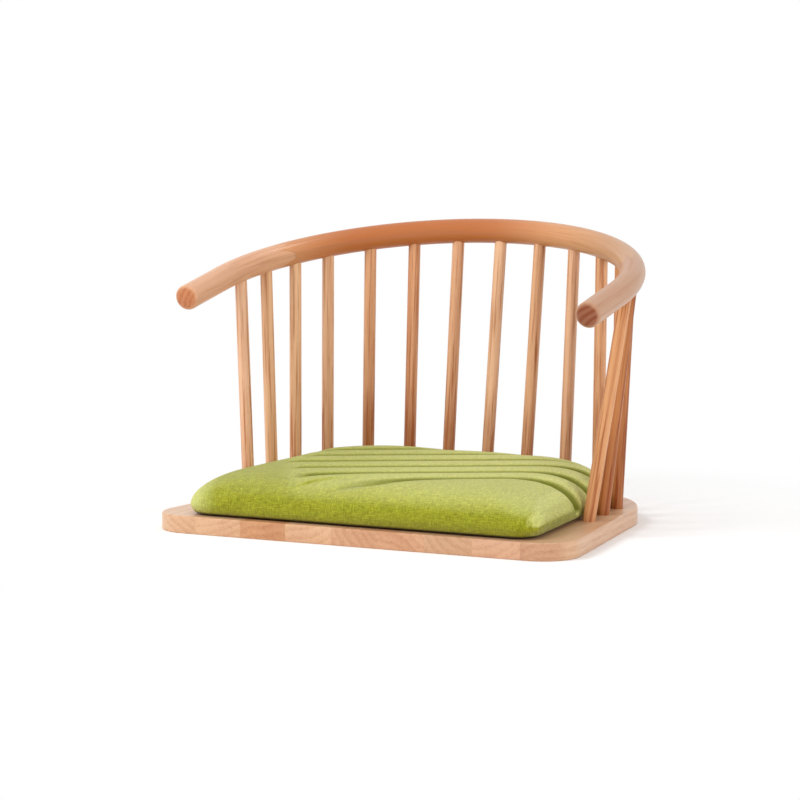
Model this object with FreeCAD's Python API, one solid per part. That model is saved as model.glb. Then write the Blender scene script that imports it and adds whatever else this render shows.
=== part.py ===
# A legless floor chair: an edge-glued seat board that rests on the floor, fifteen round
# spindles, a rail of three finger-jointed pieces, and a loose quilted cushion.
# Millimetres. +X is the sitter's left as seen from the front, +Y runs from the front to
# the back, +Z is up. The origin is on the floor, in the middle of the chair's outer box.
import FreeCAD, Part
import math
import os

from FreeCAD import Vector

# Seat board
board_half_width = 291.0      # at the front, where the side and front lines would meet
board_depth = 431.0
board_thickness = 22.0
board_side_taper = 0.118      # the sides draw in by this much per unit of depth
board_front_corner = 49.0
board_back_corner = 151.0
board_top_round = 3.0
board_foot_round = 1.5
stave_count = 9
stave_right_width = 75.5      # the stave on the sitter's right, where it is widest
stave_left_width = 62.0       # the stave on the sitter's left; the others share the rest

# Spindles
spindle_diameter = 16.0
spindle_inset = 25.0          # from the guide line, which follows the board's edge
guide_side_inset = 11.0       # the guide line runs this far inside the board's side, in front
guide_side_ease = 0.041       # and draws in by this much less than the side per unit of depth
spindle_spacing = 57.0        # along that line, from the middle of the back
spindles_each_side = 7
tenon_tip_diameter = 11.0
seat_shoulder_depth = 0.5     # how deep in the board the full size of a spindle ends
seat_socket_depth = 15.0
rail_shoulder_depth = 1.0
rail_socket_past_middle = 4.0  # how far a tenon reaches past the middle of the rail

# Rail
rail_diameter = 32.5
rail_half_width = 277.0       # middle of the rail, also the radius of its bend
rail_bend_y = 183.0           # where the bend starts, behind the front of the board
rail_bend_height = 307.0      # height of the rail there
rail_slope = 11.1             # degrees that the rail rises towards the back
arm_length = 99.0             # straight arm in front of the bend
arm_end_round = 4.5
arm_end_dome = 40.0           # radius of the slightly domed ends
back_spindle_step = 12.45     # degrees along the bend, the four next to the middle
side_spindle_step = 10.35     # degrees along the bend, the other three
back_steps = 4
joint_angle = 65.2            # degrees from the middle of the back
finger_count = 3
finger_length = 27.0

# Cushion
cushion_spindle_clearance = 1.6
cushion_board_clearance = 0.3
cushion_front_inset = 8.0
cushion_height = 54.5
cushion_front_corner = 42.0
cushion_front_ease = 0.15     # growth of the front corners per unit that the sides draw in
cushion_back_ease = 0.4       # shrinkage of the back corners, likewise
cushion_waist = 9.0           # height at which the sides are fullest
cushion_foot_draw = 22.0      # how far the sides draw in below the waist
cushion_foot_angle = 70.0
cushion_foot_steps = 3
cushion_crown_draw = 74.0     # how far in from the sides the crown reaches its height
cushion_crown_fullness = 2.2  # 2 is an ellipse, more is a flatter top with steeper sides
cushion_crown_steps = 8
cover_thickness = 6.0         # fabric quilted on wadding
channel_depth = 4.2
channel_width = 4.0
channel_slant = 28.6          # degrees that the channels turn from the front edge to the back
channel_first_offset = 41.0   # from the middle of the board's front to the first channel
channel_pitch = 55.0
# how far each channel starts before the foot of its offset
channel_starts = (38.0, 68.0, 70.0, 76.0, 50.0, 32.0)
channel_foot_height = 8.0     # above the board, where the channels end on the sides

# Worked out
rail_radius = rail_diameter / 2
board_side = (board_half_width, board_side_taper)
guide_side = (board_half_width - guide_side_inset, board_side_taper - guide_side_ease)
spindle_radius = spindle_diameter / 2
slope = math.radians(rail_slope)
rail_back_y = rail_bend_y + rail_half_width * math.cos(slope)
shift_y = -(rail_back_y + rail_radius) / 2
big = 2 * (board_half_width + board_depth)
near = 0.1                    # for picking edges by their place

os.makedirs("parts", exist_ok=True)


def save(shape, name):
    shape.translate(Vector(0, shift_y, 0))
    shape.exportStep("parts/" + name + ".step")
    print(name, len(shape.Solids), shape.isValid(), round(shape.Volume))


def half_outline(side, inset, front_inset, front_corner, back_corner):
    """Points and arc middles of the right half of a seat outline, drawn in by inset."""
    half_width, taper = side
    lean = math.atan(taper)
    back = board_depth - inset
    side_x = half_width - inset / math.cos(lean)
    # front corner: tangent to the front line and to the leaning side line
    front_turn = math.pi / 2 + lean
    reach = front_corner * math.tan(front_turn / 2)
    front_centre = (side_x - taper * front_inset - reach, front_inset + front_corner)
    # back corner
    back_turn = math.pi / 2 - lean
    reach_back = back_corner * math.tan(back_turn / 2)
    back_centre = (side_x - taper * back - reach_back, back - back_corner)

    def on(centre, radius, angle):
        return (centre[0] + radius * math.cos(angle), centre[1] + radius * math.sin(angle))

    return {
        "front": on(front_centre, front_corner, -math.pi / 2),
        "front_middle": on(front_centre, front_corner, -math.pi / 2 + front_turn / 2),
        "side_front": on(front_centre, front_corner, lean),
        "side_back": on(back_centre, back_corner, lean),
        "back_middle": on(back_centre, back_corner, lean + back_turn / 2),
        "back": on(back_centre, back_corner, math.pi / 2),
        "back_centre": back_centre,
        "lean": lean,
    }


def seat_wire(side, z, inset, front_inset, front_corner, back_corner):
    """A closed seat outline at height z: straight front, leaning sides, round corners."""
    half = half_outline(side, inset, front_inset, front_corner, back_corner)

    def right(name):
        return Vector(half[name][0], half[name][1], z)

    def left(name):
        return Vector(-half[name][0], half[name][1], z)

    edges = [
        Part.LineSegment(left("front"), right("front")),
        Part.Arc(right("front"), right("front_middle"), right("side_front")),
        Part.LineSegment(right("side_front"), right("side_back")),
        Part.Arc(right("side_back"), right("back_middle"), right("back")),
        Part.LineSegment(right("back"), left("back")),
        Part.Arc(left("back"), left("back_middle"), left("side_back")),
        Part.LineSegment(left("side_back"), left("side_front")),
        Part.Arc(left("side_front"), left("front_middle"), left("front")),
    ]
    return Part.Wire([edge.toShape() for edge in edges])


def spindle_foot(index):
    """Where spindle number index, counted from the middle to the right, meets the board."""
    half = half_outline(guide_side, spindle_inset, spindle_inset, board_front_corner,
                        board_back_corner - spindle_inset)
    along = abs(index) * spindle_spacing
    radius = board_back_corner - spindle_inset
    straight = half["back"][0]
    bend = radius * (math.pi / 2 - half["lean"])
    centre = half["back_centre"]
    if along <= straight:
        x, y = along, half["back"][1]
    elif along <= straight + bend:
        angle = math.pi / 2 - (along - straight) / radius
        x = centre[0] + radius * math.cos(angle)
        y = centre[1] + radius * math.sin(angle)
    else:
        rest = along - straight - bend
        x = half["side_back"][0] + rest * math.sin(half["lean"])
        y = half["side_back"][1] - rest * math.cos(half["lean"])
    return Vector(math.copysign(x, index) if index else 0.0, y, board_thickness)


def on_rail(across, along):
    """A point of the rail's sloping plane: across from the middle, along from the bend."""
    return Vector(across, rail_bend_y + along * math.cos(slope),
                  rail_bend_height + along * math.sin(slope))


def on_bend(angle, radius=rail_half_width):
    """A point of the bend, at an angle in degrees from the middle of the back."""
    turn = math.radians(angle)
    return on_rail(radius * math.sin(turn), radius * math.cos(turn))


def spindle_head(index):
    steps = abs(index)
    angle = min(steps, back_steps) * back_spindle_step
    angle += max(steps - back_steps, 0) * side_spindle_step
    return on_bend(math.copysign(angle, index) if index else 0.0)


def spindle(index):
    """A round spindle whose two ends taper to tenons inside the board and the rail."""
    foot = spindle_foot(index)
    head = spindle_head(index)
    axis = head.sub(foot)
    length = axis.Length
    axis.normalize()
    # the full size ends where the whole section is inside the wood
    board_lean = math.sqrt(1 - axis.z ** 2) / axis.z
    seat_start = -spindle_radius * board_lean - seat_shoulder_depth
    seat_end = -seat_socket_depth / axis.z
    rail_reach = math.sqrt(rail_radius ** 2 - spindle_radius ** 2)
    rail_start = length - rail_reach + rail_shoulder_depth
    rail_end = length + rail_socket_past_middle
    tip = tenon_tip_diameter / 2
    profile = [(0, seat_end), (tip, seat_end), (spindle_radius, seat_start),
               (spindle_radius, rail_start), (tip, rail_end), (0, rail_end)]
    points = [Vector(radius, 0, height) for radius, height in profile]
    face = Part.Face(Part.makePolygon(points + points[:1]))
    solid = face.revolve(Vector(0, 0, 0), Vector(0, 0, 1), 360)
    turn = FreeCAD.Rotation(Vector(0, 0, 1), axis)
    solid.Placement = FreeCAD.Placement(foot, turn)
    return solid


def seat_board(spindles):
    """The whole board with its rounded rims and the sockets for the spindles."""
    wire = seat_wire(board_side, 0, 0, 0, board_front_corner, board_back_corner)
    board = Part.Face(wire).extrude(Vector(0, 0, board_thickness))
    top = [e for e in board.Edges if e.BoundBox.ZMin > board_thickness - near]
    board = board.makeFillet(board_top_round, top)
    foot = [e for e in board.Edges if e.BoundBox.ZMax < near]
    board = board.makeFillet(board_foot_round, foot)
    return board.cut(Part.makeCompound(spindles))


def glue_lines():
    """The places across the board where two staves meet."""
    first = stave_right_width - board_half_width
    last = board_half_width - stave_left_width
    pitch = (last - first) / (stave_count - 2)
    return [first + number * pitch for number in range(stave_count - 1)]


def staves(board):
    edges = [-big] + glue_lines() + [big]
    pieces = []
    for low, high in zip(edges, edges[1:]):
        block = Part.makeBox(high - low, 2 * big, 2 * big, Vector(low, -big, -big))
        pieces.append(board.common(block))
    return pieces


def whole_rail():
    """Two straight arms and the half-round bend between them, with domed, rounded ends."""
    ends = [on_rail(side * rail_half_width, -arm_length) for side in (-1, 1)]
    starts = [on_bend(-90), on_bend(90)]
    path = Part.Wire([
        Part.LineSegment(ends[0], starts[0]).toShape(),
        Part.Arc(starts[0], on_bend(-45), on_bend(0)).toShape(),
        Part.Arc(on_bend(0), on_bend(45), starts[1]).toShape(),
        Part.LineSegment(starts[1], ends[1]).toShape(),
    ])
    forward = starts[0].sub(ends[0])
    forward.normalize()
    section = Part.Wire(Part.makeCircle(rail_radius, ends[0], forward))
    rail = path.makePipeShell([section], True, False)
    dome_depth = arm_end_dome - math.sqrt(arm_end_dome ** 2 - rail_radius ** 2)
    for end in ends:
        block = Part.makeCylinder(rail_diameter, dome_depth, end, forward)
        ball = Part.makeSphere(arm_end_dome, end + forward * arm_end_dome)
        rail = rail.cut(block.cut(ball))
    rims = [e for e in rail.Edges if isinstance(e.Curve, Part.Circle)
            and abs(e.Curve.Radius - rail_radius) < near
            and min(e.Curve.Center.sub(end + forward * dome_depth).Length for end in ends) < near]
    return rail.makeFillet(arm_end_round, rims)


def arm_region(side):
    """All the space of one arm, up to the zigzag of the finger joint."""
    turn = math.radians(joint_angle)
    outward = (math.sin(turn), math.cos(turn))
    onward = (math.cos(turn), -math.sin(turn))

    def place(across, along):
        radius = rail_half_width + across
        x = radius * outward[0] + along * onward[0]
        s = radius * outward[1] + along * onward[1]
        return on_rail(side * x, s)

    half_finger = rail_diameter / finger_count / 2
    reach = rail_half_width / 2
    far = rail_half_width + arm_length
    outer = rail_radius + half_finger
    points = [place(-reach, far), place(-reach, -finger_length / 2)]
    for number in range(2 * finger_count + 1):
        across = -rail_radius + number * half_finger
        along = finger_length / 2 * (1 if number % 2 else -1)
        points.append(place(across, along))
    points.append(place(outer, -finger_length / 2))
    points.append(place(outer, far))
    face = Part.Face(Part.makePolygon(points + points[:1]))
    upward = Vector(0, -math.sin(slope), math.cos(slope)) * rail_diameter
    face.translate(upward * -1)
    return face.extrude(upward * 2)


def cushion_levels():
    """Pairs of draw and height: how far the outline is drawn in at each height."""
    levels = []
    foot_turn = math.radians(cushion_foot_angle)
    for step in range(cushion_foot_steps, 0, -1):
        angle = foot_turn * step / cushion_foot_steps
        levels.append((cushion_foot_draw * (1 - math.cos(angle)),
                       cushion_waist * (1 - math.sin(angle) / math.sin(foot_turn))))
    rise = cushion_height - cushion_waist
    for step in range(cushion_crown_steps + 1):
        angle = math.pi / 2 * step / cushion_crown_steps
        reach = math.cos(angle) ** (2 / cushion_crown_fullness)
        levels.append((cushion_crown_draw * (1 - reach),
                       cushion_waist + rise * math.sin(angle)))
    return levels


def cushion_body(shell):
    """The cushion's form, drawn in by shell all round: narrow foot, full sides, crown."""
    base_inset = spindle_inset + spindle_radius + cushion_spindle_clearance
    back_corner = board_back_corner - base_inset
    low = board_thickness + cushion_board_clearance + shell
    squeeze = 1 - 2 * shell / cushion_height
    wires = []
    for draw, height in cushion_levels():
        inset = draw + shell
        wires.append(seat_wire(guide_side, low + height * squeeze, base_inset + inset,
                               cushion_front_inset + inset,
                               cushion_front_corner + cushion_front_ease * inset,
                               back_corner - cushion_back_ease * inset))
    body = Part.makeLoft(wires, True, True)
    if body.Volume < 0:
        body.reverse()
    return body


def channel_slots():
    """Upright slots on parallel slanting lines, for the sewn channels of the cover."""
    slots = []
    for number, start in enumerate(channel_starts):
        offset = channel_first_offset + number * channel_pitch
        slot = Part.makeBox(big, channel_width, cushion_height,
                            Vector(-start, offset - channel_width / 2, 0))
        slot.rotate(Vector(0, 0, 0), Vector(0, 0, 1), channel_slant)
        slot.translate(Vector(0, 0, board_thickness + channel_foot_height))
        slots.append(slot)
    return slots


# Build
numbers = list(range(-spindles_each_side, spindles_each_side + 1))
spindles = [spindle(number) for number in numbers]

for place, piece in enumerate(staves(seat_board(spindles)), start=1):
    save(piece, "seat_stave_%d" % place)

rail = whole_rail().cut(Part.makeCompound(spindles))
regions = [arm_region(side) for side in (-1, 1)]
save(rail.cut(Part.makeCompound(regions)), "rail_bow")
save(rail.common(regions[0]), "rail_arm_right")
save(rail.common(regions[1]), "rail_arm_left")

for place, piece in enumerate(spindles, start=1):
    save(piece, "spindle_%02d" % place)

foam = cushion_body(cover_thickness)
quilted = cushion_body(0.0).cut(Part.makeCompound(channel_slots()))
quilted = quilted.fuse(cushion_body(channel_depth))
save(quilted.cut(foam), "cushion_cover")
save(foam, "cushion_foam")
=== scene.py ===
"""Looks of the floor chair: finished wood, a quilted green cushion, a pale studio.

Metres and the CAD's own frame: +X to the sitter's left, +Y to the back, +Z up. Left and right
are the sitter's. Inside the materials, places and distances are in millimetres.
"""

import math

import bmesh
import bpy
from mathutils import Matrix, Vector


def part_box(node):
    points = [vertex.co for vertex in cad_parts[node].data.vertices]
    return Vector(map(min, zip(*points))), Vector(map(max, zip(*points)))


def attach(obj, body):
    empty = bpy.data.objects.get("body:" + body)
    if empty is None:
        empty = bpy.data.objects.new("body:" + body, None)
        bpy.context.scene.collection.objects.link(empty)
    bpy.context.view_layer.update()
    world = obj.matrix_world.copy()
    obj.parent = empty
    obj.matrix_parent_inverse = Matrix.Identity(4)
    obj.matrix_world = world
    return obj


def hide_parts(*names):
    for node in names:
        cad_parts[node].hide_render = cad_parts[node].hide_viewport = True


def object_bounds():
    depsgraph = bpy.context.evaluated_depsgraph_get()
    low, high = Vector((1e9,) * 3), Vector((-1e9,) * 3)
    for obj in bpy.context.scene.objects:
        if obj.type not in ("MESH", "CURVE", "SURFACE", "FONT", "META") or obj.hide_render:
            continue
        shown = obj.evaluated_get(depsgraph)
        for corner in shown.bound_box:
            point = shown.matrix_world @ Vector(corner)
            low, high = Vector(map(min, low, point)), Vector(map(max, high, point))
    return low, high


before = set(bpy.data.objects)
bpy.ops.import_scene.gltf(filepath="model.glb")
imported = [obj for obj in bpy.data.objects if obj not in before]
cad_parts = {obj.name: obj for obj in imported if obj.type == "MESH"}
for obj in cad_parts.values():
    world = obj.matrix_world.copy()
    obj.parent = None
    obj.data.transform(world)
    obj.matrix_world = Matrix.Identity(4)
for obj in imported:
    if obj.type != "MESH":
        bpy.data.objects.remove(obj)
cad_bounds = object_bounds()

MM = 0.001

# Places shared with the solids, in metres
FRONT_Y = cad_bounds[0][1]            # the board's front edge
RAIL_CENTRE = Vector((0, FRONT_Y + 0.183, 0.307))
RAIL_RADIUS = 0.277
RAIL_TUBE = 0.01625                   # half the rail's thickness
RAIL_SLOPE = math.radians(11.1)
JOINT_ANGLE = math.radians(65.2)      # from the middle of the back to each finger joint
FINGER_COUNT = 3
FINGER_LENGTH = 0.027

# Cushion, in metres
GUIDE_HALF_WIDTH = 0.280              # a line just inside the board's edge, at its front
GUIDE_TAPER = 0.077                   # how much it draws in on its way to the back
BOARD_DEPTH = 0.431
SIDE_INSET = 0.0346                   # from the guide line to the fullest part of the sides
FRONT_INSET = 0.008
FRONT_CORNER = 0.031                  # radius, which changes with the draw by the two eases
FRONT_EASE = 0.30
FOOT_EASE = 0.6
BACK_CORNER = 0.1164
BACK_EASE = 0.4
CUSHION_BASE = 0.0223
CUSHION_HEIGHT = 0.0545
WAIST = 0.009                         # height of the fullest line above the base
FOOT_DRAW = 0.015
FOOT_ANGLE = math.radians(70)
CROWN_DRAW = 0.074
CROWN_FULLNESS = 2.2
START_SHRINK = 0.0004                 # left for the cloth to swell into
FOOT_RINGS = 4
CROWN_RINGS = 14
FRONT_CORNER_STEPS = 14
BACK_CORNER_STEPS = 26
SIDE_STEPS = 30
FRONT_STEPS = 44

# Sewn channels: parallel slanting lines, in plan
CHANNEL_SLANT = math.radians(28.6)
CHANNEL_FIRST = 0.041                 # from the middle of the board's front
CHANNEL_PITCH = 0.055
CHANNEL_LEAD = 0.008                  # a line begins to sink this far before its start
# Of each line: where it starts along it, over what length it deepens, depth, half width
CHANNELS = ((-0.038, 0.130, 0.0085, 0.014), (-0.068, 0.030, 0.0075, 0.012),
            (-0.070, 0.026, 0.0075, 0.012), (-0.076, 0.026, 0.0075, 0.012),
            (-0.050, 0.026, 0.0075, 0.012), (-0.032, 0.026, 0.0075, 0.012))
SEAM_LOW = 0.006                      # the lines run out between these heights above the base
SEAM_HIGH = 0.016
VALLEY_CURVE = 1.5                    # 1 gives a valley with straight sides
PILLOW = 0.0026                       # the swell midway between two lines
PILLOW_CURVE = 2

# The cushion's cloth
VOXEL = 0.0052
CLOTH_FRAMES = 20
HELD_FOOT = 0.003                     # the foot is held up to this height above the base
HELD_SEAM = 0.003                     # a seam is held this far to each side of its line
HELD_SEAM_FROM = 0.010                # and only above this height
PUFF_CAP = 0.0030                     # most that the cloth may move up or down
SIDE_PUFF_CAP = 0.0014                # and sideways, toward the spindles
FINE_WIDTHS = (0.013, 0.006)          # beside a seam, faces are halved within each of these


def rgb(red, green, blue):
    return (red, green, blue, 1.0)


# Node helpers

class Nodes:
    """Builds the nodes of one material or world with few words."""

    def __init__(self, tree):
        self.nodes = tree.nodes
        self.links = tree.links
        self.coord = self.nodes.new("ShaderNodeTexCoord")

    def put(self, socket, value):
        if isinstance(value, bpy.types.NodeSocket):
            self.links.new(value, socket)
        elif value is not None:
            socket.default_value = value

    def math(self, operation, a, b=None, c=None, clamp=False):
        node = self.nodes.new("ShaderNodeMath")
        node.operation = operation
        node.use_clamp = clamp
        for socket, value in zip(node.inputs, (a, b, c)):
            self.put(socket, value)
        return node.outputs[0]

    def vary(self, total, value, middle, amount, clamp=False):
        """total, and amount for each unit by which value is above middle."""
        return self.math("MULTIPLY_ADD", self.math("SUBTRACT", value, middle), amount, total, clamp)

    def vector(self, operation, a, b=None):
        node = self.nodes.new("ShaderNodeVectorMath")
        node.operation = operation
        self.put(node.inputs[0], a)
        self.put(node.inputs[1], b)
        scalar = operation in ("DOT_PRODUCT", "LENGTH")
        return node.outputs["Value" if scalar else "Vector"]

    def dot(self, vector, direction):
        return self.vector("DOT_PRODUCT", vector, tuple(direction))

    def distance(self, a, b):
        """Length of the slanting side over two sides square to each other."""
        squares = self.math("ADD", self.math("POWER", a, 2.0), self.math("POWER", b, 2.0))
        return self.math("SQRT", squares)

    def combine(self, x, y, z):
        node = self.nodes.new("ShaderNodeCombineXYZ")
        for socket, value in zip(node.inputs, (x, y, z)):
            self.put(socket, value)
        return node.outputs[0]

    def split(self, vector):
        node = self.nodes.new("ShaderNodeSeparateXYZ")
        self.put(node.inputs[0], vector)
        return node.outputs

    def noise(self, vector, scale, detail=2.0, roughness=0.5):
        node = self.nodes.new("ShaderNodeTexNoise")
        self.put(node.inputs["Vector"], vector)
        node.inputs["Scale"].default_value = scale
        node.inputs["Detail"].default_value = detail
        node.inputs["Roughness"].default_value = roughness
        return node.outputs[0]

    def ramp(self, value, low, high, start, end, shape="LINEAR"):
        """start below low, end above high, and even or smooth between."""
        node = self.nodes.new("ShaderNodeMapRange")
        node.interpolation_type = shape
        self.put(node.inputs["Value"], value)
        node.inputs["From Min"].default_value = low
        node.inputs["From Max"].default_value = high
        node.inputs["To Min"].default_value = start
        node.inputs["To Max"].default_value = end
        return node.outputs["Result"]

    def step(self, value, low, high):
        """0 below low, 1 above high, smooth between; the other way round if low > high."""
        if low > high:
            return self.ramp(value, high, low, 1.0, 0.0, "SMOOTHSTEP")
        return self.ramp(value, low, high, 0.0, 1.0, "SMOOTHSTEP")

    def mix(self, factor, a, b, blend="MIX"):
        node = self.nodes.new("ShaderNodeMix")
        node.data_type = "RGBA"
        node.blend_type = blend
        self.put(node.inputs["Factor"], factor)
        self.put(node.inputs[6], a)
        self.put(node.inputs[7], b)
        return node.outputs[2]

    def backdrop(self):
        """1 where the studio is seen directly, in a reflection or through glass."""
        path = self.nodes.new("ShaderNodeLightPath")
        seen = self.math("MAXIMUM", path.outputs["Is Camera Ray"], path.outputs["Is Glossy Ray"])
        return self.math("MAXIMUM", seen, path.outputs["Is Transmission Ray"])


class Shader(Nodes):
    """One material."""

    def __init__(self, name):
        self.material = bpy.data.materials.new(name)
        self.material.use_nodes = True
        super().__init__(self.material.node_tree)
        self.bsdf = self.nodes["Principled BSDF"]
        self.normal = self.coord.outputs["Normal"]

    def place(self, centre=None):
        """Millimetres from centre, or from the frame's origin."""
        point = self.coord.outputs["Object"]
        if centre is not None:
            point = self.vector("SUBTRACT", point, tuple(centre))
        node = self.nodes.new("ShaderNodeVectorMath")
        node.operation = "SCALE"
        self.put(node.inputs[0], point)
        node.inputs["Scale"].default_value = 1 / MM
        return node.outputs["Vector"]

    def bump(self, height, distance):
        node = self.nodes.new("ShaderNodeBump")
        node.inputs["Distance"].default_value = distance
        node.inputs["Strength"].default_value = 1.0
        self.put(node.inputs["Height"], height)
        self.links.new(node.outputs["Normal"], self.bsdf.inputs["Normal"])

    def set(self, **values):
        for name, value in values.items():
            self.put(self.bsdf.inputs[name.replace("_", " ")], value)


# Wood

PALE = rgb(0.80, 0.485, 0.290)
DARK = rgb(0.40, 0.145, 0.055)
GLUE = rgb(0.20, 0.07, 0.03)
GLUE_SHARE = 0.20
GLUE_EDGE = (2.6, 0.8)                # the glue line fades between these distances from it

# Pattern: stretches are the change along the fibres for each change across them
SLOW_STRETCH = 0.10
SLOW_SHIFT = (37.0, 11.0, 5.0)        # for each seed
WANDER_SCALE = 0.016
BLOTCH_SCALE = 0.014
BLOTCH_MIDDLE = 0.42
BLOTCH_WEIGHT = 0.8
RING_WANDER = 2.2                     # in ring widths
LATE_RISE = (0.20, 0.90)              # parts of a ring in which its late wood deepens and ends
LATE_FALL = (1.0, 0.92)
THREAD_STRETCH = 0.03
THREAD_SHIFT = (13.0, 7.0, 0.0)
FIBRE_SCALE = 1.0
FIBRE_MIDDLE = 0.5
FIBRE_WEIGHT = 0.40
FIBRE_ROUGHNESS = 0.6
PORE_SCALE = 3.0
PORE_RISE = (0.58, 0.72)
PORE_WEIGHT = 0.16
BAND_SCALE = 0.16
BAND_MIDDLE = 0.42
BAND_WEIGHT = 1.1                     # of the streaks' own weight
STREAK_SCALE = 0.33
STREAK_RISE = (0.50, 0.68)
FIBRE_RELIEF = 0.5                    # of the pores' depth
RELIEF = 0.00006                      # in metres
SHADE_GLOSS = 0.10                    # the darker fibres are this much rougher
FOOT_SHADE_RISE = (0.170, 0.085)            # heights in metres between which the painted shade on an upright deepens

END_RISE = (0.40, 0.80)               # how square to the fibres a face is that shows end grain
CAP_RADIUS = (16.5, 11.0)             # an arm's domed end is deepest in its middle
CAP_RING = 3.2
CAP_ARC = (0.5, 2.8)
CAP_ARC_SHARE = 0.22

# The bow's tone along its length, counted from the middle of the back toward the left
BOW_FAR_RISE = (60.0, 260.0)
BOW_DEEPEST = -120.0
BOW_MIDDLE_FALL = (250.0, 80.0)


def shifted(seed, shift):
    return tuple(seed * part for part in shift)


def toned(colour, tone):
    """The colour times three numbers."""
    return rgb(*[channel * part for channel, part in zip(colour, tone)])


def straight_grain(shader, axis, centre, pith):
    """Millimetres across, across and along a piece whose fibres run along axis."""
    axis = Vector(axis).normalized()
    side = axis.cross(Vector((0.3, 0.2, 1.0)) if abs(axis.z) < 0.9 else Vector((1, 0, 0)))
    side.normalize()
    other = axis.cross(side)
    place = shader.place(centre)
    across = shader.math("ADD", shader.dot(place, side), pith[0])
    up = shader.math("ADD", shader.dot(place, other), pith[1])
    return across, up, shader.dot(place, axis)


def rail_place(shader):
    """Sideways, depth and height in the rail's own sloping plane."""
    place = shader.place(RAIL_CENTRE)
    sine, cosine = math.sin(RAIL_SLOPE), math.cos(RAIL_SLOPE)
    sideways = shader.split(place)[0]
    return sideways, shader.dot(place, (0, cosine, sine)), shader.dot(place, (0, -sine, cosine))


def rail_grain(shader, place, pith):
    """Across, up and along a rail whose fibres follow its bend and its straight arms."""
    sideways, depth, height = place
    radius = RAIL_RADIUS / MM
    behind = shader.math("MAXIMUM", depth, 0.0)
    before = shader.math("MINIMUM", depth, 0.0)
    flat = shader.distance(sideways, behind)
    turn = shader.math("ARCTAN2", sideways, behind)
    arm = shader.math("MULTIPLY", shader.math("SIGN", sideways), before)
    along = shader.math("SUBTRACT", shader.math("MULTIPLY", turn, radius), arm)
    across = shader.math("ADD", shader.math("SUBTRACT", flat, radius), pith[0])
    return across, shader.math("ADD", height, pith[1]), along


def glue_line(shader, place):
    """1 on the zigzag where the bow and an arm meet, 0 off it."""
    sideways, depth, _ = place
    side = shader.math("ABSOLUTE", sideways)
    sine, cosine = math.sin(JOINT_ANGLE), math.cos(JOINT_ANGLE)
    onward = shader.math("SUBTRACT", shader.math("MULTIPLY", side, cosine),
                         shader.math("MULTIPLY", depth, sine))
    outward = shader.math("ADD", shader.math("MULTIPLY", side, sine),
                          shader.math("MULTIPLY", depth, cosine))
    half_finger = RAIL_TUBE / FINGER_COUNT / MM
    length = FINGER_LENGTH / MM
    inner = shader.math("SUBTRACT", outward, (RAIL_RADIUS - RAIL_TUBE) / MM)
    wave = shader.math("PINGPONG", shader.math("DIVIDE", inner, half_finger), 1.0)
    zigzag = shader.math("MULTIPLY_ADD", wave, length, -length / 2)
    off = shader.math("ABSOLUTE", shader.math("SUBTRACT", onward, zigzag))
    return shader.step(off, *GLUE_EDGE)


def growth_rings(shader, grain, seed, ring):
    """Distance from the pith, how late in its ring a point is, and slow blotches."""
    across, up, along = grain
    slow = shader.combine(across, up, shader.math("MULTIPLY", along, SLOW_STRETCH))
    slow = shader.vector("ADD", slow, shifted(seed, SLOW_SHIFT))
    wander = shader.noise(slow, WANDER_SCALE, 1.0)
    distance = shader.math("ADD", shader.distance(across, up),
                           shader.math("MULTIPLY", wander, RING_WANDER * ring))
    phase = shader.math("FRACT", shader.math("DIVIDE", distance, ring))
    late = shader.math("MULTIPLY", shader.step(phase, *LATE_RISE), shader.step(phase, *LATE_FALL))
    return distance, late, shader.noise(slow, BLOTCH_SCALE, 1.0)


def fibres(shader, grain, seed):
    """Fibres, pores, broad bands and streaks, all long and thin."""
    across, up, along = grain
    thread = shader.combine(across, up, shader.math("MULTIPLY", along, THREAD_STRETCH))
    thread = shader.vector("ADD", thread, shifted(seed, THREAD_SHIFT))
    fibre = shader.noise(thread, FIBRE_SCALE, 3.0, FIBRE_ROUGHNESS)
    pore = shader.step(shader.noise(thread, PORE_SCALE, 2.0, FIBRE_ROUGHNESS), *PORE_RISE)
    band = shader.noise(thread, BAND_SCALE, 1.0)
    streak = shader.step(shader.noise(thread, STREAK_SCALE), *STREAK_RISE)
    return fibre, pore, band, streak


def pale_tone(shader, tones, along):
    """The pale colour, which changes along the bow and is deepest right of its middle."""
    if "middle" not in tones:
        return tones["pale"]
    tone = shader.mix(shader.step(along, *BOW_FAR_RISE), tones["pale"], tones["far"])
    away = shader.math("ABSOLUTE", shader.math("SUBTRACT", along, BOW_DEEPEST))
    return shader.mix(shader.step(away, *BOW_MIDDLE_FALL), tone, tones["middle"])


def cap_share(shader, grain, pith, distance):
    """How deep an arm's domed end is toned: most in its middle, with arcs of rings."""
    out = shader.math("SUBTRACT", grain[0], pith[0])
    rise = shader.math("SUBTRACT", grain[1], pith[1])
    radius = shader.vector("LENGTH", shader.combine(out, rise, 0.0))
    arcs = shader.step(shader.math("PINGPONG", distance, CAP_RING), *CAP_ARC)
    arcs = shader.math("MULTIPLY_ADD", arcs, CAP_ARC_SHARE, 1 - CAP_ARC_SHARE)
    return shader.math("MULTIPLY", shader.step(radius, *CAP_RADIUS), arcs)


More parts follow.
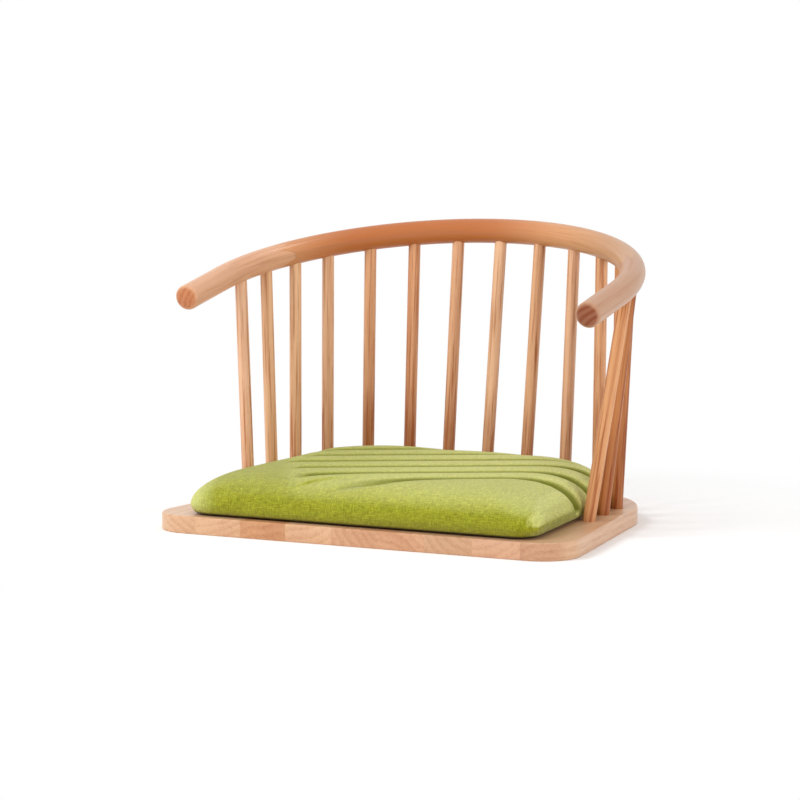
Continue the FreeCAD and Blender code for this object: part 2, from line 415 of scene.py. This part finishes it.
def wood(name, piece, tones, seed, finish, end=None, foot=0.0):
    """A lacquered hardwood. piece has the pith, and the axis and the centre of a straight piece.
    end has the axis and the tint of end grain; foot paints shade on the lower part of an upright."""
    shader = Shader(name)
    pith = piece["pith"]
    place = None
    if "axis" in piece:
        grain = straight_grain(shader, piece["axis"], piece["centre"], pith)
    else:
        place = rail_place(shader)
        grain = rail_grain(shader, place, pith)
    distance, late, blotch = growth_rings(shader, grain, seed, finish["ring"])
    fibre, pore, band, streak = fibres(shader, grain, seed)
    streaks = finish["streaks"]
    shade = shader.math("MULTIPLY", late, finish["ring_depth"])
    shade = shader.vary(shade, fibre, FIBRE_MIDDLE, FIBRE_WEIGHT)
    shade = shader.math("MULTIPLY_ADD", streak, streaks, shade)
    shade = shader.vary(shade, band, BAND_MIDDLE, BAND_WEIGHT * streaks)
    shade = shader.vary(shade, blotch, BLOTCH_MIDDLE, BLOTCH_WEIGHT)
    # Painted shade: the lower part of an upright darkens, as if shaded by the cushion
    if foot:
        height = shader.split(shader.coord.outputs["Object"])[2]
        shade = shader.math("MULTIPLY_ADD", shader.step(height, *FOOT_SHADE_RISE), foot, shade)
    shade = shader.math("MULTIPLY_ADD", pore, PORE_WEIGHT, shade, clamp=True)
    colour = shader.mix(shade, pale_tone(shader, tones, grain[2]), tones["dark"])
    if end:
        facing = shader.math("ABSOLUTE", shader.dot(shader.normal, end["axis"]))
        share = shader.step(facing, *END_RISE)
        if place:
            share = shader.math("MULTIPLY", share, cap_share(shader, grain, pith, distance))
        colour = shader.mix(share, colour, shader.mix(1.0, colour, end["tint"], "MULTIPLY"))
    if place:
        line = shader.math("MULTIPLY", glue_line(shader, place), GLUE_SHARE)
        colour = shader.mix(line, colour, GLUE)
    relief = shader.math("SUBTRACT", shader.math("MULTIPLY", fibre, FIBRE_RELIEF), pore)
    shader.bump(relief, RELIEF)
    shader.set(Base_Color=colour, Coat_IOR=1.5, Coat_Weight=finish["coat"],
               Roughness=shader.math("MULTIPLY_ADD", shade, SHADE_GLOSS, finish["gloss"]),
               Coat_Roughness=finish["coat_gloss"], Specular_IOR_Level=finish["specular"])
    return shader.material


def dress(node, material):
    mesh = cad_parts[node].data
    mesh.materials.clear()
    mesh.materials.append(material)


# Seat board

BOARD_PALE = rgb(0.665, 0.415, 0.248)
BOARD_FINISH = {"ring": 10.0, "ring_depth": 0.20, "streaks": 0.20,
                "gloss": 0.40, "specular": 0.5, "coat": 0.25, "coat_gloss": 0.22}
# Of the staves, from the right
STAVE_TONES = ((1.00, 1.00, 1.00), (1.00, 0.99, 0.97), (0.89, 0.74, 0.60), (1.01, 0.99, 0.97),
               (0.94, 0.87, 0.83), (0.96, 0.88, 0.85), (0.87, 0.83, 0.80), (0.95, 0.88, 0.91),
               (0.96, 0.94, 0.93))
STAVE_PITHS = ((-60, 95), (38, 70), (-25, -52), (110, 160), (-44, 66), (20, -90), (-18, 48),
               (52, 75), (-35, -58))
STAVE_AXIS = (0, 1, 0)
STAVE_END = rgb(1.0, 0.97, 0.93)      # tint of the end grain
LAST_STAVE_END = rgb(0.86, 0.76, 0.72)

for number, (tone, pith) in enumerate(zip(STAVE_TONES, STAVE_PITHS), start=1):
    node = "seat_stave_%d" % number
    low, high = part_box(node)
    piece = {"axis": STAVE_AXIS, "centre": (low + high) / 2, "pith": pith}
    tint = LAST_STAVE_END if number == len(STAVE_TONES) else STAVE_END
    dress(node, wood("seat_wood_%d" % number, piece,
                     {"pale": toned(BOARD_PALE, tone), "dark": toned(DARK, tone)}, number,
                     BOARD_FINISH, end={"axis": STAVE_AXIS, "tint": tint}))


# Spindles

SPINDLE_DARK = rgb(0.38, 0.130, 0.042)
SPINDLE_FINISH = {"ring": 9.0, "ring_depth": 0.20, "streaks": 0.55,
                  "gloss": 0.40, "specular": 0.32, "coat": 0.12, "coat_gloss": 0.22}
# From the right: the fifth and sixth are redder, and the thirteenth and fourteenth the deepest,
# partly in their wood and partly as painted shade from the spindles before them
SPINDLE_TONES_AND_SHADES = ((1.10, 1.16, 1.26), (0.96, 0.93, 0.86), (1.06, 1.07, 1.03), (1.04, 1.04, 1.03),
                 (0.95, 0.84, 0.74), (0.92, 0.78, 0.68), (0.97, 0.92, 0.88), (1.02, 1.03, 1.04),
                 (0.93, 0.87, 0.80), (0.96, 0.92, 0.92), (0.93, 0.82, 0.72), (0.84, 0.66, 0.46),
                 (0.66, 0.43, 0.24), (0.66, 0.43, 0.23), (0.92, 0.77, 0.58))
# How much painted shade each gets toward its foot, where the cushion shades it
SPINDLE_FOOT_SHADES = (0.05, 0.15, 0.15, 0.25, 0.40, 0.50, 0.50, 0.40, 0.25, 0.20, 0.20, 0.20, 0.30, 0.30,
                0.10)
SPINDLE_PITH = 46                     # distance from a spindle's middle
SPINDLE_TURN = 2.4                    # radians by which the pith turns from each to the next
SPINDLE_SEED = 20


def spindle_axis(node):
    """The middle and the direction of a spindle, from its own vertices."""
    points = [vertex.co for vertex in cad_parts[node].data.vertices]
    middle_z = sum(point.z for point in points) / len(points)
    top = [point for point in points if point.z > middle_z]
    foot = [point for point in points if point.z <= middle_z]
    above = sum(top, Vector()) / len(top)
    below = sum(foot, Vector()) / len(foot)
    return (above + below) / 2, (above - below).normalized()


for number, (tone, foot) in enumerate(zip(SPINDLE_TONES_AND_SHADES, SPINDLE_FOOT_SHADES), start=1):
    node = "spindle_%02d" % number
    centre, axis = spindle_axis(node)
    turn = number * SPINDLE_TURN
    piece = {"axis": axis, "centre": centre,
             "pith": (SPINDLE_PITH * math.cos(turn), SPINDLE_PITH * math.sin(turn))}
    dress(node, wood("spindle_wood_%02d" % number, piece,
                     {"pale": toned(PALE, tone), "dark": toned(SPINDLE_DARK, tone)},
                     SPINDLE_SEED + number, SPINDLE_FINISH, foot=foot))


# Rail

ARM_AXIS = (0, math.cos(RAIL_SLOPE), math.sin(RAIL_SLOPE))
ARM = rgb(0.68, 0.370, 0.215)
RAIL_FINISH = {"ring": 10.0, "ring_depth": 0.14, "streaks": 0.28,
               "gloss": 0.34, "specular": 0.28, "coat": 0.14, "coat_gloss": 0.14}
# Of each piece: its tones, its seed, its pith and the tint of its end grain
RAIL_PIECES = {
    "rail_bow": ({"pale": rgb(0.66, 0.325, 0.148), "dark": DARK,
                  "middle": rgb(0.46, 0.140, 0.037), "far": rgb(0.49, 0.265, 0.135)},
                 41, (30, 55), None),
    "rail_arm_left": ({"pale": toned(ARM, (0.70, 0.72, 0.74)), "dark": DARK},
                      42, (-42, 60), rgb(0.46, 0.185, 0.075)),
    "rail_arm_right": ({"pale": ARM, "dark": DARK}, 43, (55, 40), rgb(0.72, 0.44, 0.26)),
}

for node, (tones, seed, pith, tint) in RAIL_PIECES.items():
    end = {"axis": ARM_AXIS, "tint": tint} if tint else None
    dress(node, wood("rail_wood_" + node, {"pith": pith}, tones, seed, RAIL_FINISH, end=end))


# Cushion

def arc(centre, radius, start, end, steps):
    """Points along an arc in plan, with both its ends."""
    turns = [start + (end - start) * step / steps for step in range(steps + 1)]
    return [Vector((centre[0] + radius * math.cos(turn), centre[1] + radius * math.sin(turn)))
            for turn in turns]


def between(start, end, steps):
    """Points along a straight line in plan, without its ends."""
    return [start.lerp(end, step / steps) for step in range(1, steps)]


def cushion_outline(inset, front_corner):
    """Points round the cushion in plan, drawn in by inset from its fullest line."""
    lean = math.atan(GUIDE_TAPER)
    side = GUIDE_HALF_WIDTH - (SIDE_INSET + inset) / math.cos(lean)
    front = FRONT_INSET + inset
    back = BOARD_DEPTH - SIDE_INSET - inset
    back_corner = BACK_CORNER - BACK_EASE * inset
    front_turn = math.pi / 2 + lean
    back_turn = math.pi / 2 - lean
    front_centre = (side - GUIDE_TAPER * front - front_corner * math.tan(front_turn / 2),
                    front + front_corner)
    back_centre = (side - GUIDE_TAPER * back - back_corner * math.tan(back_turn / 2),
                   back - back_corner)
    front_arc = arc(front_centre, front_corner, -math.pi / 2, lean, FRONT_CORNER_STEPS)
    back_arc = arc(back_centre, back_corner, lean, math.pi / 2, BACK_CORNER_STEPS)
    half = front_arc + between(front_arc[-1], back_arc[0], SIDE_STEPS) + back_arc
    mirrored = [Vector((-point.x, point.y)) for point in reversed(half)]
    back_line = between(half[-1], mirrored[0], FRONT_STEPS)
    front_line = between(mirrored[-1], half[0], FRONT_STEPS)
    return [Vector((p.x, p.y + FRONT_Y)) for p in half + back_line + mirrored + front_line]


def cushion_levels():
    """Draw, height and front corner of each ring of the cushion, from its foot to its crown."""
    levels = []
    for step in range(FOOT_RINGS, 0, -1):
        angle = FOOT_ANGLE * step / FOOT_RINGS
        draw = FOOT_DRAW * (1 - math.cos(angle))
        levels.append((draw, WAIST * (1 - math.sin(angle) / math.sin(FOOT_ANGLE)),
                       FRONT_CORNER - FOOT_EASE * draw))
    for step in range(CROWN_RINGS + 1):
        angle = math.pi / 2 * step / CROWN_RINGS
        draw = CROWN_DRAW * (1 - max(math.cos(angle), 0.0) ** (2 / CROWN_FULLNESS))
        levels.append((draw, WAIST + (CUSHION_HEIGHT - WAIST) * math.sin(angle),
                       FRONT_CORNER + FRONT_EASE * draw))
    return levels


def cushion_form():
    """The cushion's closed form before it swells."""
    mesh = bmesh.new()
    rings = []
    squeeze = 1 - 2 * START_SHRINK / CUSHION_HEIGHT
    for draw, height, corner in cushion_levels():
        z = CUSHION_BASE + START_SHRINK + height * squeeze
        outline = cushion_outline(draw + START_SHRINK, corner)
        rings.append([mesh.verts.new((p.x, p.y, z)) for p in outline])
    for lower, upper in zip(rings, rings[1:]):
        for index, corner in enumerate(lower):
            following = (index + 1) % len(lower)
            mesh.faces.new((corner, lower[following], upper[following], upper[index]))
    mesh.faces.new(list(reversed(rings[0])))
    mesh.faces.new(rings[-1])
    return mesh


def smooth(value, low, high):
    share = min(max((value - low) / (high - low), 0.0), 1.0)
    return share * share * (3 - 2 * share)


def channel_place(point):
    """The nearest sewn line in plan, metres off it, and how strongly it shows there."""
    x, y = point.x, point.y - FRONT_Y
    along = x * math.cos(CHANNEL_SLANT) + y * math.sin(CHANNEL_SLANT)
    across = y * math.cos(CHANNEL_SLANT) - x * math.sin(CHANNEL_SLANT) - CHANNEL_FIRST
    line = min(max(round(across / CHANNEL_PITCH), 0), len(CHANNELS) - 1)
    start, growth = CHANNELS[line][:2]
    strength = smooth(along, start - CHANNEL_LEAD, start + growth)
    return line, across - line * CHANNEL_PITCH, strength


def apply_modifiers(piece):
    """Turns what the modifiers make into the piece's own mesh."""
    graph = bpy.context.evaluated_depsgraph_get()
    made = bpy.data.meshes.new_from_object(piece.evaluated_get(graph))
    piece.modifiers.clear()
    old = piece.data
    piece.data = made
    bpy.data.meshes.remove(old)


def hold(cushion):
    """A group of the vertices that the cloth keeps in place, at the foot and along the seams."""
    held = cushion.vertex_groups.new(name="held")
    for vertex in cushion.data.vertices:
        _, off, strength = channel_place(vertex.co)
        foot = vertex.co.z < CUSHION_BASE + START_SHRINK + HELD_FOOT
        seam = (abs(off) < HELD_SEAM and strength > 0.5
                and vertex.co.z > CUSHION_BASE + HELD_SEAM_FROM)
        if foot or seam:
            held.add([vertex.index], 1.0, "REPLACE")
    return held


def inflate(cushion):
    """Blows the closed form up a little as cloth."""
    remesh = cushion.modifiers.new("remesh", "REMESH")
    remesh.mode = "VOXEL"
    remesh.voxel_size = VOXEL
    apply_modifiers(cushion)
    held = hold(cushion)
    before = [vertex.co.copy() for vertex in cushion.data.vertices]
    cloth = cushion.modifiers.new("cloth", "CLOTH")
    settings = cloth.settings
    settings.quality = 5
    settings.mass = 0.3
    settings.tension_stiffness = 12
    settings.compression_stiffness = 12
    settings.shear_stiffness = 4
    settings.bending_stiffness = 0.6
    settings.use_pressure = True
    settings.uniform_pressure_force = 4
    settings.vertex_group_mass = held.name
    settings.effector_weights.gravity = 0
    cloth.point_cache.frame_start = 1
    cloth.point_cache.frame_end = CLOTH_FRAMES
    scene = bpy.context.scene
    for number in range(1, CLOTH_FRAMES + 1):
        scene.frame_set(number)
    apply_modifiers(cushion)
    scene.frame_set(1)
    for vertex, start in zip(cushion.data.vertices, before):
        move = vertex.co - start
        sideways = Vector((move.x, move.y, 0))
        if sideways.length > SIDE_PUFF_CAP:
            sideways = sideways.normalized() * SIDE_PUFF_CAP
        upward = min(max(move.z, -PUFF_CAP), PUFF_CAP)
        vertex.co = start + sideways + Vector((0, 0, upward))


def quilt(cushion):
    """Finer faces along the seams, and the seams pressed in as valleys."""
    mesh = bmesh.new()
    mesh.from_mesh(cushion.data)
    for width in FINE_WIDTHS:
        near = set()
        for edge in mesh.edges:
            middle = (edge.verts[0].co + edge.verts[1].co) / 2
            _, off, strength = channel_place(middle)
            if abs(off) < width and strength > 0 and middle.z > CUSHION_BASE + SEAM_LOW:
                near.add(edge)
        bmesh.ops.subdivide_edges(mesh, edges=list(near), cuts=1, use_grid_fill=True)
    mesh.normal_update()
    moves = []
    for vertex in mesh.verts:
        line, off, strength = channel_place(vertex.co)
        strength *= smooth(vertex.co.z - CUSHION_BASE, SEAM_LOW, SEAM_HIGH)
        if strength > 0:
            depth, half_width = CHANNELS[line][2:]
            valley = max(1 - abs(off) / half_width, 0.0) ** VALLEY_CURVE
            pillow = 1 - (1 - min(abs(off) / (CHANNEL_PITCH / 2), 1.0)) ** PILLOW_CURVE
            height = PILLOW * pillow - depth * valley
            moves.append((vertex, vertex.normal * height * strength))
    for vertex, move in moves:
        vertex.co += move
    mesh.to_mesh(cushion.data)
    mesh.free()


# Cushion fabric

FABRIC_DARK = rgb(0.235, 0.240, 0.004)
FABRIC_PALE = rgb(0.40, 0.410, 0.028)
# Colour of the painted sheen and painted top light
FABRIC_PAINTED_SHEEN = rgb(0.70, 0.71, 0.225)
# Colours of the painted shade on the channels' slopes and in their creases
FABRIC_SLOPE_SHADE = rgb(0.120, 0.135, 0.004)
FABRIC_CREASE_SHADE = rgb(0.030, 0.036, 0.001)
# Colour of the painted contact shadow along the cushion's foot
FABRIC_FOOT_SHADOW = rgb(0.030, 0.027, 0.002)
THREAD_PITCH = 1.35
THREAD_RELIEF = 0.00035               # in metres
SLUB_RELIEF = 0.8                     # of the threads' own
WEAVE_MIDDLE = 1.2
WEAVE_WEIGHT = 0.22
SLUB_SCALE = 0.85
SLUB_STRETCH = 0.15
SLUB_ROUGHNESS = 0.65
SLUB_MIDDLE = 1.0
SLUB_WEIGHT = 1.1                     # in the tone, and then in the brightness of that
SLUB_GRAIN = 0.70
FLECK_RISE = (0.58, 0.78)
FLECK_WEIGHT = 0.14
FLECK_GRAIN = 0.05
BROAD_SCALE = 0.018
BROAD_MIDDLE = 0.5
BROAD_WEIGHT = 0.5
FABRIC_TONE = 0.42                    # of the mix of dark and pale, without the pattern
GRAIN_TONE = 0.98
SHEEN = 0.50

# The top's painted sheen and painted light: how level it is, how much paler it gets toward the left
# and where it is quilted
TOP_RISE = (0.46, 0.94)
TOP_ACROSS = (-140.0, 70.0)
TOP_LEAST = 0.20
TOP_MORE = 0.33
TOP_QUILTED = 0.22
# Of each spot of painted sheen: the way it faces, how nearly, how pale it is and from what height
PAINTED_SHEEN_SPOTS = (((0.86, -0.24, 0.45), 0.84, 0.80, -12.0), ((0.86, 0.05, 0.51), 0.72, 0.80, 14.0),
                ((-0.84, -0.36, 0.42), 0.66, 0.64, -12.0))
SPOT_MIDDLE = 0.98
SPOT_HEIGHT = 20.0
RIGHT_SIDE = (-186.0, -232.0)         # painted sheen all along the right side
RIGHT_SIDE_HEIGHT = (-2.0, 14.0)
RIGHT_SIDE_SHARE = 0.82
FOOT_SHADOW_FALL = (5.5, 1.5)                # heights above the base between which the painted contact shadow at the foot deepens
FOOT_SHADOW_SHARE = 0.90

# Shade of the lines: its outer and inner edge in half widths, how dark it is, and how much
# narrower it is on the side that faces the back
SEAM_SHADES = ((0.95, 0.50, 0.86, 2.2), (0.20, 0.06, 0.90, 1.0))
SEAM_SHADE_LEAD = 4.0
QUILTED_RISE = (-84.0, -60.0)         # along the lines, where the quilted part starts
QUILTED_EDGE = 8.0                    # to each side of the first line


def seam_shade(shader, place):
    """How far a point is on a channel's slopes, in its crease, and on the quilted part.

    The slopes and creases are painted shade, and a slope that faces the front gets the darker one."""
    moved = shader.vector("SUBTRACT", place, (0, FRONT_Y / MM, 0))
    sine, cosine = math.sin(CHANNEL_SLANT), math.cos(CHANNEL_SLANT)
    across = shader.dot(moved, (-sine, cosine, 0))
    along = shader.dot(moved, (cosine, sine, 0))
    upward = shader.step(shader.split(place)[2], (CUSHION_BASE + SEAM_LOW) / MM,
                         (CUSHION_BASE + SEAM_HIGH) / MM)
    shades = []
    for outer, inner, share, lean in SEAM_SHADES:
        shade = 0.0
        for line, (start, growth, _, half_width) in enumerate(CHANNELS):
            middle = (CHANNEL_FIRST + line * CHANNEL_PITCH) / MM
            off = shader.math("SUBTRACT", across, middle)
            off = shader.math("MAXIMUM", off, shader.math("MULTIPLY", off, -lean))
            width = half_width / MM
            seam = shader.math("MULTIPLY", shader.step(off, outer * width, inner * width),
                               shader.step(along, start / MM - SEAM_SHADE_LEAD,
                                           (start + growth) / MM))
            shade = shader.math("MAXIMUM", shade, seam)
        shades.append(shader.math("MULTIPLY", shade, shader.math("MULTIPLY", upward, share)))
    first = CHANNEL_FIRST / MM
    quilted = shader.math("MULTIPLY", shader.step(along, *QUILTED_RISE),
                          shader.step(across, first - QUILTED_EDGE, first + QUILTED_EDGE))
    return shades[0], shades[1], quilted


def painted_sheen_share(shader, place, above, quilted):
    """How much painted sheen and painted top light the fabric gets: on top, at both front corners
    and along the sides.
    """
    level = shader.step(shader.split(shader.normal)[2], *TOP_RISE)
    across = shader.split(place)[0]
    top = shader.math("MULTIPLY_ADD", shader.step(across, *TOP_ACROSS), TOP_MORE, TOP_LEAST)
    top = shader.math("MULTIPLY_ADD", quilted, TOP_QUILTED, top)
    painted_sheen = shader.math("MULTIPLY", level, top)
    for facing, least, share, low in PAINTED_SHEEN_SPOTS:
        spot = shader.step(shader.dot(shader.normal, facing), least, SPOT_MIDDLE)
        spot = shader.math("MULTIPLY", spot, share)
        spot = shader.math("MULTIPLY", spot, shader.step(above, low, low + SPOT_HEIGHT))
        painted_sheen = shader.math("MAXIMUM", painted_sheen, spot)
    edge = shader.math("MULTIPLY", shader.step(across, *RIGHT_SIDE),
                       shader.step(above, *RIGHT_SIDE_HEIGHT))
    return shader.math("MAXIMUM", painted_sheen, shader.math("MULTIPLY", edge, RIGHT_SIDE_SHARE))


def fabric(name):
    """A coarse plain weave with slubs, threads along X and along Y that turn down the sides."""
    shader = Shader(name)
    place = shader.place()
    facing = shader.split(shader.normal)
    weave = 0.0
    for axis, part in enumerate(shader.split(place)):
        turn = shader.math("MULTIPLY", part, math.pi / THREAD_PITCH)
        wave = shader.math("ABSOLUTE", shader.math("SINE", turn))
        flat = shader.math("SUBTRACT", 1.0, shader.math("POWER", facing[axis], 2.0))
        weave = shader.math("ADD", weave, shader.math("MULTIPLY", wave, flat))
    upright, level = [
        shader.noise(shader.vector("MULTIPLY", place, stretch), SLUB_SCALE, 2.0, SLUB_ROUGHNESS)
        for stretch in ((1.0, SLUB_STRETCH, SLUB_STRETCH), (SLUB_STRETCH, 1.0, 1.0))]
    slub = shader.math("ADD", upright, level)
    fleck = shader.step(shader.math("MAXIMUM", upright, level), *FLECK_RISE)
    shade = shader.vary(FABRIC_TONE, slub, SLUB_MIDDLE, SLUB_WEIGHT)
    shade = shader.vary(shade, weave, WEAVE_MIDDLE, WEAVE_WEIGHT)
    shade = shader.math("MULTIPLY_ADD", fleck, FLECK_WEIGHT, shade)
    broad = shader.noise(place, BROAD_SCALE)
    shade = shader.vary(shade, broad, BROAD_MIDDLE, BROAD_WEIGHT, clamp=True)
    slope_shade, crease_shade, quilted = seam_shade(shader, place)
    above = shader.math("SUBTRACT", shader.split(place)[2], CUSHION_BASE / MM)
    colour = shader.mix(shade, FABRIC_DARK, FABRIC_PALE)
    # Painted sheen and painted top light on the fabric
    colour = shader.mix(painted_sheen_share(shader, place, above, quilted), colour, FABRIC_PAINTED_SHEEN)
    grain = shader.vary(GRAIN_TONE, slub, SLUB_MIDDLE, SLUB_GRAIN)
    grain = shader.math("MULTIPLY_ADD", fleck, FLECK_GRAIN, grain)
    colour = shader.mix(1.0, colour, shader.combine(grain, grain, grain), "MULTIPLY")
    # Painted shade on the channels' slopes and in their creases
    colour = shader.mix(slope_shade, colour, FABRIC_SLOPE_SHADE)
    colour = shader.mix(crease_shade, colour, FABRIC_CREASE_SHADE)
    # Painted contact shadow along the foot, which also takes the sheen away there
    foot = shader.math("MULTIPLY", shader.step(above, *FOOT_SHADOW_FALL), FOOT_SHADOW_SHARE)
    colour = shader.mix(foot, colour, FABRIC_FOOT_SHADOW)
    shader.bump(shader.math("MULTIPLY_ADD", slub, SLUB_RELIEF, weave), THREAD_RELIEF)
    shader.set(Base_Color=colour, Roughness=0.85, Specular_IOR_Level=0.25,
               Sheen_Weight=shader.math("MULTIPLY_ADD", foot, -SHEEN, SHEEN),
               Sheen_Roughness=0.32, Sheen_Tint=rgb(1.0, 1.0, 0.72))
    return shader.material


# The cushion as a piece

cushion = bpy.data.objects.new("quilted_cushion", bpy.data.meshes.new("quilted_cushion"))
form = cushion_form()
form.to_mesh(cushion.data)
form.free()
bpy.context.scene.collection.objects.link(cushion)
inflate(cushion)
fine = cushion.modifiers.new("fine", "SUBSURF")
fine.levels = fine.render_levels = 1
apply_modifiers(cushion)
quilt(cushion)
for polygon in cushion.data.polygons:
    polygon.use_smooth = True
cushion.data.materials.clear()
cushion.data.materials.append(fabric("cushion_fabric"))
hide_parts("cushion_cover", "cushion_foam")
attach(cushion, "cushion")


# Studio, in metres

FLOOR_RADIUS = 14.0
FLOOR_WHITE = (0.30, 0.70)            # the floor turns plain white between these distances
ROOM_BRIGHT_SIDE = Vector((-0.7, -0.6, 0.05)).normalized()
ROOM_DIM = 0.36                       # strength of the room's light on the far side from that
ROOM_BRIGHT = 0.98
# Of each lamp: name, place, what it points at, width and height, watts, seen in reflections
LAMPS = (("key", (-1.3, -1.6, 2.05), (0, 0, 0.2), (1.2, 1.2), 36, False),
         ("top", (0.42, 0.72, 2.33), (0, 0, 0.2), (0.5, 0.4), 8, True),
         ("side", (2.3, -0.8, 0.7), (0, 0, 0.10), (1.0, 0.8), 19, False))


def studio_floor():
    """A wide pale floor that turns into plain white away from the chair."""
    mesh = bmesh.new()
    bmesh.ops.create_circle(mesh, cap_ends=True, segments=96, radius=FLOOR_RADIUS)
    floor = bpy.data.objects.new("studio_floor", bpy.data.meshes.new("studio_floor"))
    mesh.to_mesh(floor.data)
    mesh.free()
    bpy.context.scene.collection.objects.link(floor)
    shader = Shader("studio_floor")
    shader.set(Base_Color=rgb(0.95, 0.95, 0.95), Roughness=0.9, Specular_IOR_Level=0.0)
    away = shader.vector("LENGTH", shader.coord.outputs["Object"])
    share = shader.math("MULTIPLY", shader.backdrop(), shader.step(away, *FLOOR_WHITE))
    white = shader.nodes.new("ShaderNodeEmission")
    mixed = shader.nodes.new("ShaderNodeMixShader")
    for socket, value in zip(mixed.inputs, (share, shader.bsdf.outputs[0], white.outputs[0])):
        shader.put(socket, value)
    shader.put(shader.nodes["Material Output"].inputs["Surface"], mixed.outputs[0])
    floor.data.materials.append(shader.material)


def studio_world():
    """A white surround whose light is stronger in front on the right than behind on the left."""
    world = bpy.data.worlds.new("studio")
    world.use_nodes = True
    bpy.context.scene.world = world
    around = Nodes(world.node_tree)
    toward = around.dot(around.coord.outputs["Generated"], ROOM_BRIGHT_SIDE)
    strength = around.nodes.new("ShaderNodeMix")
    around.put(strength.inputs[0], around.backdrop())
    around.put(strength.inputs[2], around.ramp(toward, -1.0, 1.0, ROOM_DIM, ROOM_BRIGHT))
    around.put(strength.inputs[3], 1.0)
    background = around.nodes["Background"]
    background.inputs["Color"].default_value = rgb(1, 1, 1)
    around.put(background.inputs["Strength"], strength.outputs[0])


def studio_lamp(name, place, target, size, power, glossy):
    light = bpy.data.lights.new(name, "AREA")
    light.shape = "RECTANGLE"
    light.size, light.size_y = size
    light.energy = power
    lamp = bpy.data.objects.new(name, light)
    lamp.location = place
    lamp.visible_glossy = glossy
    lamp.visible_camera = False
    lamp.rotation_euler = (Vector(target) - Vector(place)).to_track_quat("-Z", "Y").to_euler()
    bpy.context.scene.collection.objects.link(lamp)


studio_floor()
studio_world()
for lamp_values in LAMPS:
    studio_lamp(*lamp_values)

# Camera: low in front, on the left

CAMERA_AZIMUTH = 0.45208              # radians from straight ahead
CAMERA_ELEVATION = 0.119005
CAMERA_PLACE = Vector((1.7489, FRONT_Y - 3.4580, 0.6446))
LENS = 144.0                          # for a frame 36 mm wide
SENSOR = 36.0

camera_data = bpy.data.cameras.new("camera")
camera_data.lens = LENS
camera_data.sensor_width = SENSOR
camera = bpy.data.objects.new("camera", camera_data)
camera.location = CAMERA_PLACE
gaze = Vector((-math.sin(CAMERA_AZIMUTH) * math.cos(CAMERA_ELEVATION),
               math.cos(CAMERA_AZIMUTH) * math.cos(CAMERA_ELEVATION),
               -math.sin(CAMERA_ELEVATION)))
camera.rotation_euler = gaze.to_track_quat("-Z", "Y").to_euler()
bpy.context.scene.collection.objects.link(camera)
bpy.context.scene.camera = camera
bpy.context.scene.view_settings.view_transform = "Standard"
